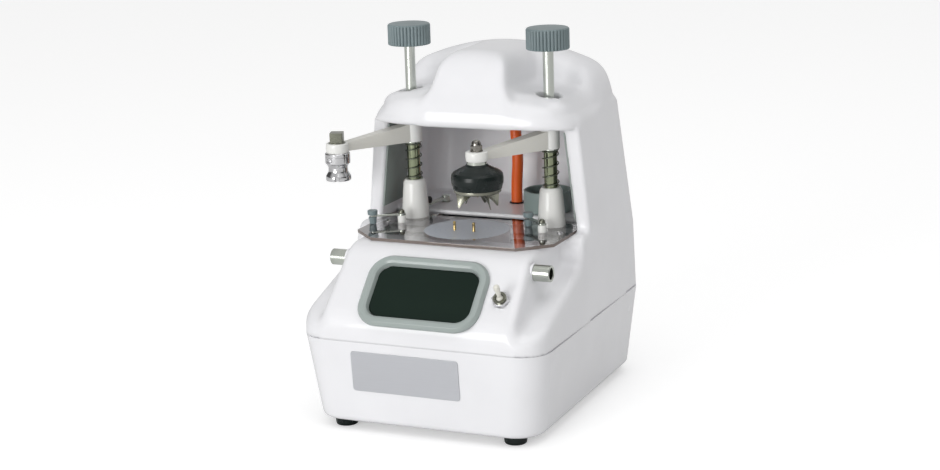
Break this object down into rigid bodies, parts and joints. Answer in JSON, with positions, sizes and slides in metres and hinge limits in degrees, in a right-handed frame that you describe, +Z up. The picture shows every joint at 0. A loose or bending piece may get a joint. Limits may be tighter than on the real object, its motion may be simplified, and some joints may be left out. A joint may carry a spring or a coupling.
{
  "type": "lens centring and blocking instrument",
  "caption": "Benchtop optical lens centring and blocking instrument with a glossy rounded case, viewing window, clear stage, sprung swing arms and ribbed press knobs.",
  "frame": {"origin": "on the bench, midway between the two guide shafts", "axes": "+X to the operator's right, +Y to the back, +Z up along the guide shafts"},
  "size_m": [0.2502, 0.2889, 0.3527],
  "materials": {
    "white_shell": "glossy",
    "white_tray": "glossy",
    "cream_post": "satin",
    "arm_paint": "satin",
    "grey_knob": "satin",
    "steel": "turned",
    "chrome": "polished",
    "spring_steel": "drawn wire",
    "dark_steel": "darkened",
    "black_rubber": "matte",
    "acrylic": "clear, polished",
    "target_face": "frosted",
    "dark_glass": "polished",
    "bezel_grey": "satin",
    "plate_silver": "satin",
    "brass": "polished",
    "orange_sleeve": "satin",
    "cup_grey": "satin",
    "panel_dark": "matte",
    "black_plastic": "satin",
    "galvanised": "galvanised",
    "mirror_face": "front silvered",
    "bulb_glass": "clear",
    "copper_coil": "varnished"
  },
  "bodies": {
    "case": {"base_tray": "white_tray", "base_plate": "galvanised", "rubber_feet": "black_rubber", "upper_housing": "white_shell", "case_screws": "steel", "rear_cover": "panel_dark", "window_bezel": "bezel_grey", "window_glass": "dark_glass", "nameplate": "plate_silver", "toggle_body": "dark_steel", "toggle_nut": "chrome", "shaft_bushes": "black_plastic", "stage_plate": "acrylic", "target_disc": "target_face", "clip_posts": "cream_post", "clip_screws": "dark_steel", "stage_screws": "chrome", "guide_columns": "cream_post", "column_nuts": "galvanised", "hood_bushings": "brass", "left_spring": "spring_steel", "right_spring": "spring_steel", "pin_cup": "cup_grey", "lamp_lead": "orange_sleeve", "lead_grommets": "black_rubber", "side_panels": "panel_dark", "mirror": "mirror_face", "mirror_bracket": "galvanised", "lamp_holder": "black_plastic", "lamp_bulb": "bulb_glass", "transformer": "copper_coil", "power_inlet": "black_plastic"},
    "left_press": {"left_washer": "steel"},
    "left_swing": {"left_shaft": "steel", "left_knob": "grey_knob", "left_arm": "arm_paint", "left_head_bolt": "dark_steel", "left_head_ring": "cream_post", "left_chuck": "chrome"},
    "right_press": {"right_washer": "steel"},
    "right_swing": {"right_shaft": "steel", "right_knob": "grey_knob", "right_arm": "arm_paint", "right_dome_nut": "steel", "right_head_ring": "cream_post", "grip_spindle": "steel", "rubber_bell": "black_rubber", "finger_plate": "chrome"},
    "gripper_pin": {"centre_pin": "brass"},
    "toggle": {"toggle_lever": "chrome"},
    "cursor_shaft": {"cross_shaft": "steel"},
    "cursor": {"cursor_carriage": "dark_steel"},
    "pins": {"lens_pins": "brass", "pin_carrier": "galvanised"},
    "pin_release": {"pin_lever": "steel", "pin_lever_knob": "black_plastic"},
    "left_clip": {"left_clip": "steel", "left_clip_knob": "grey_knob"},
    "right_clip": {"right_clip": "steel", "right_clip_knob": "grey_knob"}
  },
  "joints": [
    {"name": "left_press", "type": "slide", "parent": "case", "child": "left_press", "axis": [0, 0, -1], "range_m": [0, 0.027], "stiffness_N_per_m": 500, "springref_m": -0.02, "deforming": ["left_spring"]},
    {"name": "left_swing", "type": "hinge", "parent": "left_press", "child": "left_swing", "pos_m": [-0.07, 0, 0.25], "axis": [0, 0, 1], "range_deg": [-2, 100]},
    {"name": "right_press", "type": "slide", "parent": "case", "child": "right_press", "axis": [0, 0, -1], "range_m": [0, 0.018], "stiffness_N_per_m": 500, "springref_m": -0.02, "deforming": ["right_spring"]},
    {"name": "right_swing", "type": "hinge", "parent": "right_press", "child": "right_swing", "pos_m": [0.07, 0, 0.25], "axis": [0, 0, 1], "range_deg": [-27.4, 65]},
    {"name": "gripper_pin", "type": "slide", "parent": "right_swing", "child": "gripper_pin", "axis": [0, 0, 1], "range_m": [0, 0.003], "stiffness_N_per_m": 150, "springref_m": -0.008},
    {"name": "toggle", "type": "hinge", "parent": "case", "child": "toggle", "pos_m": [0.075, -0.1356, 0.13264], "axis": [1, 0, 0], "range_deg": [0, 28]},
    {"name": "cursor_turn", "type": "hinge", "parent": "case", "child": "cursor_shaft", "pos_m": [0, -0.0976, 0.1484], "axis": [1, 0, 0], "range_deg": [-120, 120]},
    {"name": "cursor_slide", "type": "slide", "parent": "case", "child": "cursor", "axis": [1, 0, 0], "range_m": [-0.0075, 0.0075]},
    {"name": "pin_release", "type": "hinge", "parent": "case", "child": "pin_release", "pos_m": [-0.065, 0.058, 0.17], "axis": [0, 0, 1], "range_deg": [0, 40]},
    {"name": "pin_drop", "type": "slide", "parent": "case", "child": "pins", "axis": [0, 0, -1], "range_m": [0, 0.009]},
    {"name": "left_clip", "type": "hinge", "parent": "case", "child": "left_clip", "pos_m": [-0.0715, -0.0275, 0.175], "axis": [0, 0, 1], "range_deg": [0, 100]},
    {"name": "right_clip", "type": "hinge", "parent": "case", "child": "right_clip", "pos_m": [0.0715, -0.0275, 0.175], "axis": [0, 0, 1], "range_deg": [0, 110]}
  ],
  "couplings": [
    {"joint": "cursor_turn", "follows": "cursor_slide", "rad_per_m": 279.25},
    {"joint": "pin_release", "follows": "pin_drop", "rad_per_m": 77.57}
  ]
}
